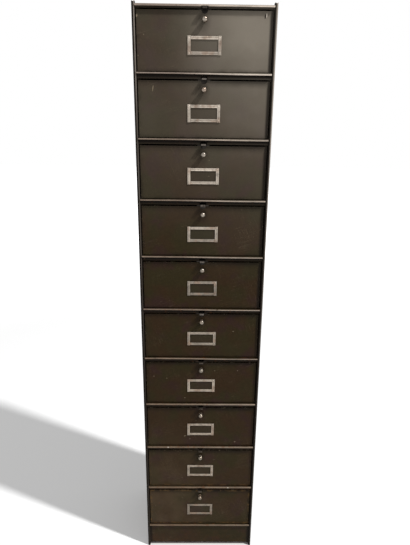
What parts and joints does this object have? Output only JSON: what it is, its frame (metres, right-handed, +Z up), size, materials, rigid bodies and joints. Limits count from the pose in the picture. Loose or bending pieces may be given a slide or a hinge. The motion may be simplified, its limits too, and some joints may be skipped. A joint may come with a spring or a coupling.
{
  "type": "flap-front filing cabinet",
  "caption": "Tall narrow sheet-steel filing cabinet with stacked fold-down flaps, each with a ball knob, a sprung thumb latch and a label frame.",
  "frame": {"origin": "on the floor under the middle of the cabinet, halfway between the knobs' fronts and the back", "axes": "+Z up; the flaps face -Y; +X is to the right of someone facing the front"},
  "size_m": [0.38, 0.291, 1.786],
  "materials": {
    "panel_paint": "aged satin enamel, dark olive brown, worn to bare steel along the shelf noses",
    "nickel": "dull nickel plate, lightly tarnished",
    "bare_steel": "oiled bare steel, darkened"
  },
  "bodies": {
    "cabinet": {"left_side": "panel_paint", "right_side": "panel_paint", "back_panel": "panel_paint", "top_panel": "panel_paint", "plinth": "panel_paint", "hinge_rods": "bare_steel", "shelf_01": "panel_paint", "shelf_02": "panel_paint", "shelf_03": "panel_paint", "shelf_04": "panel_paint", "shelf_05": "panel_paint", "shelf_06": "panel_paint", "shelf_07": "panel_paint", "shelf_08": "panel_paint", "shelf_09": "panel_paint", "shelf_10": "panel_paint"},
    "flap_01": {"flap_01": "panel_paint", "label_frame_01": "nickel", "knob_01": "nickel"},
    "latch_01": {"latch_01": "bare_steel"},
    "flap_02": {"flap_02": "panel_paint", "label_frame_02": "nickel", "knob_02": "nickel"},
    "latch_02": {"latch_02": "bare_steel"},
    "flap_03": {"flap_03": "panel_paint", "label_frame_03": "nickel", "knob_03": "nickel"},
    "latch_03": {"latch_03": "bare_steel"},
    "flap_04": {"flap_04": "panel_paint", "label_frame_04": "nickel", "knob_04": "nickel"},
    "latch_04": {"latch_04": "bare_steel"},
    "flap_05": {"flap_05": "panel_paint", "label_frame_05": "nickel", "knob_05": "nickel"},
    "latch_05": {"latch_05": "bare_steel"},
    "flap_06": {"flap_06": "panel_paint", "label_frame_06": "nickel", "knob_06": "nickel"},
    "latch_06": {"latch_06": "bare_steel"},
    "flap_07": {"flap_07": "panel_paint", "label_frame_07": "nickel", "knob_07": "nickel"},
    "latch_07": {"latch_07": "bare_steel"},
    "flap_08": {"flap_08": "panel_paint", "label_frame_08": "nickel", "knob_08": "nickel"},
    "latch_08": {"latch_08": "bare_steel"},
    "flap_09": {"flap_09": "panel_paint", "label_frame_09": "nickel", "knob_09": "nickel"},
    "latch_09": {"latch_09": "bare_steel"},
    "flap_10": {"flap_10": "panel_paint", "label_frame_10": "nickel", "knob_10": "nickel"},
    "latch_10": {"latch_10": "bare_steel"}
  },
  "joints": [
    {"name": "flap_01_hinge", "type": "hinge", "parent": "cabinet", "child": "flap_01", "pos_m": [0, -0.12542, 1.62058], "axis": [1, 0, 0], "range_deg": [0, 90]},
    {"name": "latch_01_slide", "type": "slide", "parent": "flap_01", "child": "latch_01", "axis": [0, 0, 1], "range_m": [-0.003, 0.0025], "stiffness_N_per_m": 200, "springref_m": 0.0025},
    {"name": "flap_02_hinge", "type": "hinge", "parent": "cabinet", "child": "flap_02", "pos_m": [0, -0.12542, 1.45158], "axis": [1, 0, 0], "range_deg": [0, 90]},
    {"name": "latch_02_slide", "type": "slide", "parent": "flap_02", "child": "latch_02", "axis": [0, 0, 1], "range_m": [-0.003, 0.0025], "stiffness_N_per_m": 200, "springref_m": 0.0025},
    {"name": "flap_03_hinge", "type": "hinge", "parent": "cabinet", "child": "flap_03", "pos_m": [0, -0.12542, 1.28258], "axis": [1, 0, 0], "range_deg": [0, 90]},
    {"name": "latch_03_slide", "type": "slide", "parent": "flap_03", "child": "latch_03", "axis": [0, 0, 1], "range_m": [-0.003, 0.0025], "stiffness_N_per_m": 200, "springref_m": 0.0025},
    {"name": "flap_04_hinge", "type": "hinge", "parent": "cabinet", "child": "flap_04", "pos_m": [0, -0.12542, 1.11358], "axis": [1, 0, 0], "range_deg": [0, 90]},
    {"name": "latch_04_slide", "type": "slide", "parent": "flap_04", "child": "latch_04", "axis": [0, 0, 1], "range_m": [-0.003, 0.0025], "stiffness_N_per_m": 200, "springref_m": 0.0025},
    {"name": "flap_05_hinge", "type": "hinge", "parent": "cabinet", "child": "flap_05", "pos_m": [0, -0.12542, 0.94458], "axis": [1, 0, 0], "range_deg": [0, 90]},
    {"name": "latch_05_slide", "type": "slide", "parent": "flap_05", "child": "latch_05", "axis": [0, 0, 1], "range_m": [-0.003, 0.0025], "stiffness_N_per_m": 200, "springref_m": 0.0025},
    {"name": "flap_06_hinge", "type": "hinge", "parent": "cabinet", "child": "flap_06", "pos_m": [0, -0.12542, 0.77558], "axis": [1, 0, 0], "range_deg": [0, 90]},
    {"name": "latch_06_slide", "type": "slide", "parent": "flap_06", "child": "latch_06", "axis": [0, 0, 1], "range_m": [-0.003, 0.0025], "stiffness_N_per_m": 200, "springref_m": 0.0025},
    {"name": "flap_07_hinge", "type": "hinge", "parent": "cabinet", "child": "flap_07", "pos_m": [0, -0.12542, 0.60658], "axis": [1, 0, 0], "range_deg": [0, 90]},
    {"name": "latch_07_slide", "type": "slide", "parent": "flap_07", "child": "latch_07", "axis": [0, 0, 1], "range_m": [-0.003, 0.0025], "stiffness_N_per_m": 200, "springref_m": 0.0025},
    {"name": "flap_08_hinge", "type": "hinge", "parent": "cabinet", "child": "flap_08", "pos_m": [0, -0.12542, 0.43758], "axis": [1, 0, 0], "range_deg": [0, 90]},
    {"name": "latch_08_slide", "type": "slide", "parent": "flap_08", "child": "latch_08", "axis": [0, 0, 1], "range_m": [-0.003, 0.0025], "stiffness_N_per_m": 200, "springref_m": 0.0025},
    {"name": "flap_09_hinge", "type": "hinge", "parent": "cabinet", "child": "flap_09", "pos_m": [0, -0.12542, 0.26858], "axis": [1, 0, 0], "range_deg": [0, 90]},
    {"name": "latch_09_slide", "type": "slide", "parent": "flap_09", "child": "latch_09", "axis": [0, 0, 1], "range_m": [-0.003, 0.0025], "stiffness_N_per_m": 200, "springref_m": 0.0025},
    {"name": "flap_10_hinge", "type": "hinge", "parent": "cabinet", "child": "flap_10", "pos_m": [0, -0.12542, 0.09958], "axis": [1, 0, 0], "range_deg": [0, 90]},
    {"name": "latch_10_slide", "type": "slide", "parent": "flap_10", "child": "latch_10", "axis": [0, 0, 1], "range_m": [-0.003, 0.0025], "stiffness_N_per_m": 200, "springref_m": 0.0025}
  ]
}
